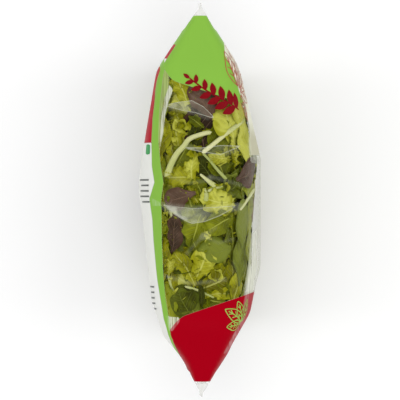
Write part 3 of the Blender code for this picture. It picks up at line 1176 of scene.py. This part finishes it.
# Leaves that show at the upper side, in millimetres and degrees: kind, place across and along,
# turn of the midrib from +Y, length, width, depth, bend across, roll, arch, tone.
SHOWN = (
    # along the front panel, down its steep shoulder
    ("broad", 32, 68, 14, 50, 34, -0.2, 0.05, 0.0, 0.05, 1.15),
    ("broad", 36, 46, 10, 40, 34, 0.2, 0.05, 0.0, 0.05, 0.90),
    ("green", 40, 14, 8, 40, 34, 1.2, 0.1, 0.0, 0.1, 0.90),
    ("broad", 42, -8, 0, 40, 22, -0.8, 0.05, 0.0, 0.05, 0.20),
    ("green", 39, -14, -8, 44, 30, 0.4, 0.1, 0.0, 0.1, 0.80),
    ("green", 39, -42, 6, 46, 32, 0.2, 0.1, 0.0, 0.1, 0.80),
    ("green", 35, -70, -14, 44, 28, 0.0, 0.1, 0.0, 0.1, 0.50),
    # along the back panel's edge
    ("green", -29, 80, 12, 36, 26, 1.8, 0.1, 0.0, 0.1, 0.60),
    ("broad", -32, 46, -6, 44, 26, 1.4, 0.1, 0.0, 0.1, 0.15),
    ("green", -34, 16, 8, 40, 28, 2.2, 0.1, 0.0, 0.1, 0.55),
    ("green", -34, -16, -6, 44, 28, 2.2, 0.1, 0.0, 0.1, 0.50),
    ("broad", -31, -48, 6, 44, 26, 2.2, 0.1, 0.0, 0.1, 0.40),
    ("green", -27, -80, 12, 40, 26, 2.4, 0.1, 0.0, 0.1, 0.60),
    # the top end
    ("frilly", -15, 86, 20, 28, 20, 2.6, 0.3, 0.2, 0.4, 0.50),
    ("red", 2.5, 76, 20, 34, 21, 1.8, 0.3, 0.0, 0.3, 0.50),
    ("red", 1, 55, 10, 40, 30, 5.2, 0.05, 0.0, 0.1, -0.10),
    ("green", -3, 60, 60, 15, 8, 3.4, 0.4, 0.2, 0.3, 0.30),
    ("frilly", 25, 57, 14, 44, 34, 2.8, 0.35, 0.5, 0.4, 0.70),
    ("green", 34, 48, 0, 32, 22, 3.0, 0.1, 0.0, 0.2, 0.85),
    ("frilly", -19, 51, 10, 28, 18, 3.6, 0.3, 0.4, 0.3, 0.12),
    ("frilly", -18, 64, 30, 22, 15, 4.0, 0.3, 0.4, 0.3, 0.22),
    ("frilly", -24, 44, 0, 17, 15, 2.6, 0.3, 0.2, 0.3, 0.00),
    # the upper middle
    ("green", -14, 36, 150, 26, 18, 4.2, 0.3, 0.2, 0.3, 0.55),
    ("frilly", -6, 24, 5, 21, 14, 1.6, 0.7, 0.4, 0.4, 0.60),
    ("frilly", -15, 17, 80, 31, 18, 2.6, 0.3, 0.3, 0.4, 0.48),
    ("dark", 5, 22, 40, 28, 20, 4.6, 0.1, 0.0, 0.1, 0.00),
    ("green", 16, 28, 30, 30, 18, 4.2, 0.3, 0.2, 0.3, 0.50),
    ("frilly", 17, 32, 80, 22, 13, 2.4, 0.9, 1.2, 0.4, 0.75),
    ("frilly", 29, 36, 10, 22, 14, 3.4, 0.5, 0.5, 0.3, 0.45),
    ("green", 12, 9, -70, 19, 7, 1.8, 0.9, 0.5, 0.3, 1.00),
    ("dark", 30, 13, -50, 36, 26, 3.6, 0.2, 0.1, 0.3, 0.60),
    ("red", 38, 21, -75, 43, 23, -1.2, 0.2, 0.1, 0.1, 0.40),
    ("red", -17.5, 1.5, 97, 31, 19, 0.8, 0.15, 0.1, 0.2, 0.55),
    ("frilly", -5, 3, 20, 17, 11, 3.6, 0.5, 0.5, 0.4, 0.30),
    ("frilly", 15, -1, 82, 35, 21, 2.0, 0.3, 0.3, 0.3, 0.98),
    ("green", 0, 8, 30, 24, 14, 4.4, 0.3, 0.3, 0.3, 0.50),
    # the lower middle
    ("frilly", -24, -13, 10, 21, 14, 3.6, 0.4, 0.4, 0.3, 0.60),
    ("green", 16, -18, 105, 36, 19, 2.2, 0.3, 0.2, 0.3, 0.60),
    ("green", -4, -24, 150, 28, 22, 3.0, 0.2, 0.2, 0.3, 0.50),
    ("red", -20.5, -26, -20, 32, 17, 1.0, 0.2, 0.1, 0.2, 0.10),
    ("frilly", 6, -30, 0, 12, 8, 1.2, 0.8, 0.4, 0.3, 0.90),
    ("dark", 13, -39, 105, 33, 21, 1.6, 0.25, 0.1, 0.3, 0.82),
    ("green", -3, -38, 30, 22, 17, 3.0, 0.3, 0.2, 0.3, 0.40),
    ("dark", 33, -20, 8, 42, 27, -0.8, 0.1, 0.1, 0.2, 1.00),
    ("dark", 32, -46, -8, 40, 24, -0.2, 0.1, 0.1, 0.2, 0.70),
    # the bottom end
    ("frilly", -13, -51, 35, 37, 15, 2.2, 0.4, 0.3, 0.3, 0.50),
    ("frilly", -7, -52, 20, 30, 18, 3.8, 0.4, 0.4, 0.3, 0.25),
    ("frilly", 2, -50, -35, 25, 22, 1.6, 0.5, 0.5, 0.4, 0.60),
    ("frilly", 14, -63, -60, 33, 25, 3.2, 0.3, 0.3, 0.3, -0.10),
    ("frilly", 18, -72, -75, 36, 12, 2.6, 0.5, 0.4, 0.3, 0.50),
    ("frilly", -24.5, -50, -10, 16, 12, 2.0, 0.5, 0.4, 0.3, 0.80),
    ("frilly", -24, -65, 0, 28, 15, 3.4, 0.2, 0.2, 0.2, 0.05),
    ("dark", -12, -79, 30, 31, 26, 3.0, 0.3, 0.1, 0.4, 0.15),
    ("dark", 1, -74, 15, 18, 6, 1.6, 0.2, 0.1, 0.2, -0.60),
    ("green", -21, -86, 10, 22, 14, 4.0, 0.3, 0.2, 0.3, 0.50),
    ("green", 8, -76, 70, 26, 18, 4.2, 0.3, 0.2, 0.3, 0.35),
    ("frilly", 26, -61, 10, 34, 16, 2.6, 0.2, 0.2, 0.3, -0.05),
    # in the gaps between them
    ("dark", -4, 49, 15, 26, 13, 4.6, 0.2, 0.1, 0.2, -0.10),
    ("green", 27, -30, 4, 52, 22, 3.2, 0.2, 0.1, 0.2, 0.25),
    ("broad", 29, -67, -10, 30, 22, 1.2, 0.2, 0.1, 0.2, 0.30),
    ("green", -29, 4, 0, 30, 16, 1.4, 0.1, 0.1, 0.1, 0.30),
    ("green", 36, -44, 0, 46, 20, 1.0, 0.1, 0.1, 0.1, 0.40),
)
# Rolled leaf ends, in millimetres: kind, place across and along, outer radius, depth, height and
# tone.
CURLS = (
    ("frilly", -16, 57, 5.6, 0.6, 5.0, 0.55),
    ("frilly", -23, 55.5, 4.0, 1.2, 4.0, 0.25),
    ("frilly", 15.5, 30.5, 5.0, 0.8, 5.0, 0.80),
    ("frilly", 20.3, 9.6, 4.2, 0.8, 4.0, 0.75),
    ("frilly", 12.6, -57.8, 5.0, 0.8, 5.0, 0.60),
    ("frilly", -3, -56, 3.6, 1.0, 4.0, 0.70),
    ("dark", -12, -78, 10.5, 1.2, 6.0, 0.50),
    ("dark", 26, 12, 9.0, 0.8, 6.0, 0.75),
)

# Pale stems under the film, in millimetres: points in plan, widths at both ends, depth and tone.
STEMS = (
    (((9, 52), (3, 51), (-8, 47), (-13, 41), (-18, 36), (-23, 28), (-27, 18)), (3.2, 5.2), -0.3, 0.15),
    (((1.5, 36), (8, 41), (17, 48), (25, 54), (33, 60), (34, 63)), (3.6, 3.2), -0.3, 0.0),
    (((2, 36), (8, 30), (14, 23), (21, 16)), (1.8, 2.8), 0.3, 0.75),
    (((0, 20), (6, 15), (12, 10.5)), (1.6, 4.8), 0.0, 0.1),
    (((3, 9), (5, 4), (4.5, -1)), (3.2, 4.2), 0.6, 0.5),
    (((6, 7), (12, 9), (18, 10.5)), (3.4, 2.0), 0.8, 0.45),
    (((31, -8), (37, 0), (43, 9)), (1.8, 2.4), -0.3, 0.1),
    (((-28, -3), (-24, -12), (-20, -20)), (2.4, 3.2), 2.2, 0.3),
    (((-12, -66), (0, -70), (11, -75)), (2.4, 1.6), 1.6, 0.45),
    (((-27, -56), (-24, -66), (-20, -74)), (2.0, 2.6), 2.2, 0.5),
)


def fill_leaves(heaps, inside):
    """Random leaves in layers, on every side that clear film shows."""
    rng = np.random.default_rng(HEAP_SEED)
    along = FILL_ALONG[1] - FILL_ALONG[0]
    for depth, (start, end), count, lengths, widths, lean, kinds in LAYERS:
        names, shares = zip(*kinds)
        across = end - start
        columns = round(math.sqrt(count * across / along))
        rows = round(count / columns)
        for i, j in np.ndindex(rows, columns):
            kind = names[rng.choice(len(names), p=shares)]
            spot = (
                start + (j + rng.uniform(*FILL_JITTER)) / columns * across,
                FILL_ALONG[0] + (i + rng.uniform(*FILL_JITTER)) / rows * along,
            )
            size = (rng.uniform(*lengths), rng.uniform(*widths))
            shape = [rng.uniform(*ends) for ends in FILL_SHAPE]
            lay_leaf(
                heaps[kind], inside, kind, spot, rng.uniform(0, 2 * math.pi), size,
                depth + rng.normal(0, FILL_SPREAD), rng, shape,
                (rng.normal(0, lean), rng.normal(0, lean)), rng.uniform(*FILL_TONES),
            )


def lay_shown(heaps, inside):
    """The leaves that the upper side shows, at their own places."""
    rng = np.random.default_rng(HEAP_SEED + 1)
    for kind, x, y, turn, length, width, depth, cup, roll, arch, tone in SHOWN:
        spot = (float(inside.around_over(x / 1000, y / 1000)), y / 1000)
        lay_leaf(
            heaps[kind], inside, kind, spot, math.radians(turn), (length / 1000, width / 1000),
            depth / 1000, rng, (cup, roll, arch), (0.0, 0.0), tone, fine=True,
        )
    rng = np.random.default_rng(CURL_SEED)
    for kind, *sizes, tone in CURLS:
        lay_curl(heaps[kind], inside, *[size / 1000 for size in sizes], rng, tone)


def smooth_path(points, count):
    """Evenly spread points on a smooth curve through the given ones."""
    points = np.array(points, float)
    padded = np.concatenate([2 * points[:1] - points[1:2], points, 2 * points[-1:] - points[-2:-1]])
    at = np.linspace(0, len(points) - 1, count)
    i = np.minimum(at.astype(int), len(points) - 2)
    return spline(*[padded[i + k] for k in range(4)], (at - i)[:, None])


STEM_STEPS = 24
STEM_SIDES = 10
STEM_ENDS = (5.0, 0.05, 1.0)  # how fast a stem widens from its ends, and its least and full share
STEM_HEIGHT = 0.8  # as a share of its width


def lay_stem(heap, inside, points, widths, depth, tone):
    """One flattened stem as a tube with narrowing ends, under the film."""
    path = smooth_path(points, STEM_STEPS) / 1000
    travel = np.gradient(path, axis=0)
    travel /= np.linalg.norm(travel, axis=1, keepdims=True)
    share = np.linspace(0, 1, STEM_STEPS)
    half = np.interp(share, (0, 1), widths) / 2000
    widening, *limits = STEM_ENDS
    half = half * np.clip(widening * np.sqrt(np.minimum(share, 1 - share)), *limits)
    angle = np.linspace(2 * math.pi, 0, STEM_SIDES + 1)
    off = half[:, None] * np.cos(angle)
    x = path[:, :1] + travel[:, 1:] * off
    y = path[:, 1:] - travel[:, :1] * off
    deep = depth / 1000 + half[:, None] * (1.0 - STEM_HEIGHT * np.sin(angle))
    heap.add(inside.at(inside.around_over(x, y), y, deep), tone)


# ---- Printed shapes over the film: plain generic motifs, laid just above it ----

PRINT_LIFT = 0.00025
# Places on the unrolled film: distance around from the top's middle, and place along the bag.
TWIG_STEM = ((0.032, 0.069), (0.02, 0.0755), (0.006, 0.0835), (-0.0065, 0.093))
TWIG_PAIRS = 6
TWIG_LEAF = (0.0125, 0.0060, 0.0060, 0.0030)  # length and width at the base, and at the tip
TWIG_LEAN = math.radians(52)
TWIG_WIDTH = 0.0011
TWIG_STEPS = 40
TWIG_SPACING = (0.6, 0.2)  # place of the first pair and room past the last, in pairs
TWIG_STAGGER = 0.03  # how far each leaf of a pair is moved, as a share of the stem
TWIG_SHRINK = 1.5  # power by which the leaves grow smaller
# Outlined leaves: foot around and along, direction from +Y, length and width.
RED_FIELD_LEAVES = (
    (0.0345, -0.093, 62, 0.02, 0.009),
    (0.0345, -0.093, 24, 0.017, 0.0084),
    (0.034, -0.0945, 100, 0.015, 0.0076),
    (0.036, -0.0925, -14, 0.017, 0.008),
)
CREAM_LEAVES = (
    (0.0325, 0.088, 24, 0.028, 0.011),
    (0.0335, 0.087, -4, 0.032, 0.012),
    (0.036, 0.086, -36, 0.032, 0.013),
    (0.0375, 0.085, -70, 0.03, 0.012),
    (0.038, 0.083, -104, 0.026, 0.011),
    (0.037, 0.08, -150, 0.022, 0.009),
)
OUTLINE_WIDTH = 0.0007
ALMOND_POWERS = (0.9, 0.85)  # for the widest place, and for the fullness of the sides
ALMOND_GRID = (13, 5)
OUTLINE_STEPS = 17
VEIN_STEPS = 5
RIB_END = 0.85  # of the midrib, as a share of the leaf's length
VEIN_FEET = (0.25, 0.45, 0.65)
VEIN_RISE = 0.14  # how far along the leaf a side vein runs
VEIN_REACH = (0.62, 0.12)  # and across: a share of the half width, taken this much further up
# Plain bars in place of small print on the back panel: distance around, place along, length and
# count of each block.
BAR_BLOCKS = ((-0.0500, 0.0160, 0.0300, 5), (-0.0480, -0.0660, 0.0260, 5))
BAR_PITCH = 0.0042
BAR_WIDTH = 0.0012
BAR_SHARES = (1.0, 0.72, 0.86)  # of the block's length, by turns
BAR_STEPS = 16
MARK = (-0.0512, 0.0388, 0.0120, 0.0080)  # rounded mark: around, along, height down, width
MARK_GRID = (17, 9)
MARK_POWER = 5  # the higher, the sharper its corners
INK_GRAIN = 400.0
INK_SHADE = 0.86  # the darker tone of an ink, as a share of it


def turned(foot, angle, along, side):
    """Points along and beside a direction turned from +Y about a foot, on the unrolled film."""
    around = foot[0] - along * math.sin(angle) + side * math.cos(angle)
    place = foot[1] + along * math.cos(angle) + side * math.sin(angle)
    return around, place


def almond_half(t, width):
    """Half width of a pointed leaf from its foot at t = 0 to its tip at t = 1."""
    shift, fullness = ALMOND_POWERS
    return width / 2 * np.sin(math.pi * t**shift) ** fullness


def almond(foot, angle, length, width):
    """A pointed leaf as one grid."""
    t = np.linspace(0.0, 1.0, ALMOND_GRID[0])[:, None]
    s = np.linspace(-1.0, 1.0, ALMOND_GRID[1])[None, :]
    return turned(foot, angle, length * t + 0.0 * s, almond_half(t, width) * s)


def strip(around, place, width):
    """A narrow strip along a path, with square ends."""
    da, dp = np.gradient(around), np.gradient(place)
    size = np.maximum(np.hypot(da, dp), 1e-9)
    side = np.array([[-width / 2, width / 2]])
    return around[:, None] - (dp / size)[:, None] * side, place[:, None] + (da / size)[:, None] * side


def almond_outline(foot, angle, length, width):
    """Grids for a leaf's outline, midrib and side veins."""
    t = np.linspace(0.0, 1.0, OUTLINE_STEPS)
    half = almond_half(t, width)
    lines = [(t, half), (t, -half), (RIB_END * t, 0.0 * t)]
    run = np.linspace(0.0, 1.0, VEIN_STEPS)
    share, ahead = VEIN_REACH
    for start in VEIN_FEET:
        span = share * almond_half(start + ahead, width) * run
        lines += [(start + VEIN_RISE * run, span), (start + VEIN_RISE * run, -span)]
    return [strip(*turned(foot, angle, length * along, side), OUTLINE_WIDTH) for along, side in lines]


def outlined(leaves):
    """Grids for several outlined leaves."""
    grids = []
    for around, place, turn, length, width in leaves:
        grids += almond_outline((around, place), math.radians(turn), length, width)
    return grids


def twig():
    """Grids for the twig: a stem with paired leaves that grow smaller to its tip."""
    path = smooth_path(TWIG_STEM, TWIG_STEPS)
    around, place = path[:, 0], path[:, 1]
    grids = [strip(around, place, TWIG_WIDTH)]
    heading = np.arctan2(-np.gradient(around), np.gradient(place))
    long_base, wide_base, long_tip, wide_tip = TWIG_LEAF
    first, past = TWIG_SPACING
    for pair in range(TWIG_PAIRS):
        share = (pair + first) / (TWIG_PAIRS + past)
        length = long_base + (long_tip - long_base) * share**TWIG_SHRINK
        width = wide_base + (wide_tip - wide_base) * share**TWIG_SHRINK
        for side in (-1, 1):
            k = int(min(share + TWIG_STAGGER * side, 1.0) * (TWIG_STEPS - 1))
            grids.append(almond((around[k], place[k]), heading[k] + side * TWIG_LEAN, length, width))
    grids.append(almond((around[-1], place[-1]), heading[-1], long_tip, wide_tip))
    return grids


def bars():
    """Grids for blocks of plain bars, each shorter or longer by turns."""
    grids = []
    for around, place, length, count in BAR_BLOCKS:
        for row in range(count):
            share = BAR_SHARES[row % len(BAR_SHARES)]
            top = place - BAR_PITCH * row
            down = np.linspace(around, around - length * share, BAR_STEPS)
            grids.append(np.broadcast_arrays(down[:, None], top + np.array([[0.0, -BAR_WIDTH]])))
    return grids


def mark():
    """A grid for a small plain mark with rounded corners."""
    around, place, down, width = MARK
    t = np.linspace(-1.0, 1.0, MARK_GRID[0])[:, None]
    s = np.linspace(-1.0, 1.0, MARK_GRID[1])[None, :]
    half = (1.0 - np.abs(t) ** MARK_POWER) ** (1 / MARK_POWER)
    return [(around - down / 2 + down / 2 * s * half, place + width / 2 * t + 0.0 * s)]


def print_material(name, ink):
    """Opaque ink on film, slightly uneven, with the film's gloss."""
    s = new_material(name)
    tone = s.ramp(s.noise(s.place(), INK_GRAIN), *MOTTLING)
    darker = tuple(INK_SHADE * value for value in ink[:3]) + (1.0,)
    return s.finish(
        Base_Color=s.blend(tone, darker, ink), Roughness=0.38, Specular_IOR_Level=0.04
    )


def lay_print(name, skin, grids, ink):
    """One printed piece from grids on the unrolled film, just above it."""
    heap = Heap()
    for around, place in grids:
        heap.add(skin.at(around, place, np.full(np.shape(around), -PRINT_LIFT)))
    new_piece(name, heap.mesh(name), print_material(name + "_ink", ink))


def add_prints(skin):
    """The generic motifs: a twig, outlined leaves, plain bars and a mark."""
    lay_print("print_twig", skin, twig(), linear(128, 12, 22))
    lay_print("print_green_leaves", skin, outlined(RED_FIELD_LEAVES), linear(150, 188, 84))
    lay_print("print_brown_leaves", skin, outlined(CREAM_LEAVES), linear(176, 92, 72))
    lay_print("print_bars", skin, bars(), linear(92, 96, 92))
    lay_print("print_mark", skin, mark(), linear(52, 150, 78))


CORE_DEPTH = 0.016
CORE_END = 0.092  # no further along the bag than this
CORE_STEP = 4  # it takes every fourth ring and point of the film's grid


def core_mesh(base):
    """A closed dark body of painted shade well inside, so that no light passes between the leaves."""
    rows = [i for i in range(RINGS) if abs(base[i, 0, 1]) < CORE_END][::CORE_STEP]
    columns = np.arange(0, AROUND, CORE_STEP)
    return grid_mesh("painted_shade_core", (base - CORE_DEPTH * grid_normals(base))[np.ix_(rows, columns)])


STEM_FOOT = linear(204, 203, 150)
STEM_TIP = linear(182, 186, 112)
STEM_GREEN = linear(136, 148, 62)
STEM_BLOTCH = linear(150, 165, 70)
STEM_BLOTCHES = 120.0
STEM_BLOTCH_SHARE = (0.45, 0.8, 0.0, 0.5)
STEM_RIBS = 50.0  # radians around a stem
STEM_BUMP = (0.3, 0.0003)
SHADES = (linear(40, 34, 0), linear(66, 58, 0))
SHADE_SCALE = 60.0


def stem_material():
    """Pale, wet-looking leaf stems with faint ribs along them."""
    s = new_material("pale_stem")
    along, around = s.leaf_axes()
    ribs = s.math("SINE", around * STEM_RIBS)
    colour = s.blend(s.ramp(along, 0.0, 1.0), STEM_FOOT, STEM_TIP)
    colour = s.blend(s.field("tone"), colour, STEM_GREEN)
    blotch = s.ramp(s.noise(s.place(), STEM_BLOTCHES), *STEM_BLOTCH_SHARE)
    colour = s.blend(blotch, colour, STEM_BLOTCH)
    return s.finish(Base_Color=colour, Roughness=0.35, Normal=s.bump(ribs, *STEM_BUMP))


def core_material():
    """Painted shade in deep green between the leaves."""
    s = new_material("leaf_shade")
    colour = s.blend(s.noise(s.place(), SHADE_SCALE), *SHADES)
    return s.finish(Base_Color=colour, Roughness=0.9)


def leaf_materials():
    """The material of each kind of leaf."""
    materials = {kind: leaf_material(*looks) for kind, looks in LEAF_LOOKS.items()}
    return materials | {"broad": materials["frilly"]}


# ---- Floor, lights and camera ----

CAMERA_HEIGHT = 6.0
CAMERA_LENS = 688.0
CAMERA_END = 100.0
FLOOR_HALF = 20.0
FLOOR_GAP = 0.0002  # between the floor and the film
WORLD_FADE = (0.40, 0.74)  # sine of the elevation where the light starts to dim, and is dimmest
WORLD_MIRRORED = (0.92, 0.03)  # strength at the horizon and overhead, as the film mirrors it
WORLD_SHED = (0.92, 0.45)  # and as it lights the bag and the floor
LAMP_TARGET = (0.0, 0.0, 0.1)
# Soft square lamps: name, place, width and height, and power in watts.
LAMPS = (
    ("near_softbox", (0.15, -0.95, 1.9), (1.4, 0.7), 9.5),
    ("far_softbox", (-0.15, 0.95, 1.9), (1.4, 0.7), 9.5),
    ("right_softbox", (1.5, 0.0, 1.6), (0.7, 1.4), 7.5),
    ("left_softbox", (-1.5, 0.0, 1.6), (0.7, 1.4), 7.5),
)


def add_floor():
    """A plain pale floor that the bag lies on."""
    mesh = bpy.data.meshes.new("floor")
    corners = [(-1, -1), (1, -1), (1, 1), (-1, 1)]
    points = [(FLOOR_HALF * x, FLOOR_HALF * y, -FLOOR_GAP) for x, y in corners]
    mesh.from_pydata(points, [], [(0, 1, 2, 3)])
    mesh.materials.append(floor_material())
    placed("floor", mesh)


def add_light(name, spot, size, power):
    """A soft square lamp at a spot, facing the bag."""
    lamp = bpy.data.lights.new(name, "AREA")
    lamp.shape = "RECTANGLE"
    lamp.size, lamp.size_y = size
    lamp.energy = power
    holder = placed(name, lamp, spot)
    holder.rotation_euler = (Vector(LAMP_TARGET) - Vector(spot)).to_track_quat("-Z", "Y").to_euler()
    holder.visible_camera = False


def add_world():
    """Soft pale light from all round, with a dim zenith in the film's reflections alone."""
    s = Shader(bpy.data.worlds.new("studio"))
    up = s.axes(s.node("ShaderNodeTexCoord").outputs["Generated"])[2]
    shed, mirrored = [s.ramp(up, *WORLD_FADE, *ends) for ends in (WORLD_SHED, WORLD_MIRRORED)]
    glossy = s.node("ShaderNodeLightPath").outputs["Is Glossy Ray"]
    strength = s.blend(glossy, shed, mirrored, "FLOAT")
    bpy.context.scene.world = s.finish("Background", Strength=strength, Color=(1.0, 1.0, 1.0, 1.0))


def add_camera():
    """A long lens straight above the bag, with its top seal up in the picture."""
    camera = bpy.data.cameras.new("camera")
    camera.lens = CAMERA_LENS
    camera.clip_end = CAMERA_END
    bpy.context.scene.camera = placed("camera", camera, (0.0, 0.0, CAMERA_HEIGHT))


def add_film():
    """The printed film, which stands for the whole CAD solid."""
    base, film = film_grid()
    mesh = grid_mesh("film", film)
    fields = print_fields(base) | shine_fields(base)
    fields["crease"] = crease_field(base) / CREASE_FULL
    fields["seal"] = SEAL_DEPTH - from_tip(base[:, :, 1])
    for name, values in fields.items():
        layer = mesh.attributes.new(name, "FLOAT", "POINT")
        layer.data.foreach_set("value", np.ascontiguousarray(values, dtype=np.float32).ravel())
    piece = new_piece("film", mesh, film_material())
    piece.visible_shadow = piece.visible_diffuse = False  # thin film lets light in to the leaves
    return base, film


def add_contents(base, film):
    """Leaves, stems and the dark core of painted shade under the film."""
    inside = contents_skin(base, film)
    heaps = {kind: Heap() for kind in KINDS}
    fill_leaves(heaps, inside)
    lay_shown(heaps, inside)
    materials = leaf_materials()
    for kind, heap in heaps.items():
        new_piece("leaves_" + kind, heap.mesh("leaves_" + kind), materials[kind])
    stems = Heap()
    for points, widths, depth, tone in STEMS:
        lay_stem(stems, inside, points, widths, depth, tone)
    new_piece("stems", stems.mesh("stems"), stem_material())
    new_piece("painted_shade_core", core_mesh(base), core_material())


add_camera()
add_floor()
add_world()
for lamp in LAMPS:
    add_light(*lamp)
bpy.context.scene.view_settings.view_transform = "Standard"
base_rings, film_rings = add_film()
add_contents(base_rings, film_rings)
add_prints(Surface(film_rings, base_rings))
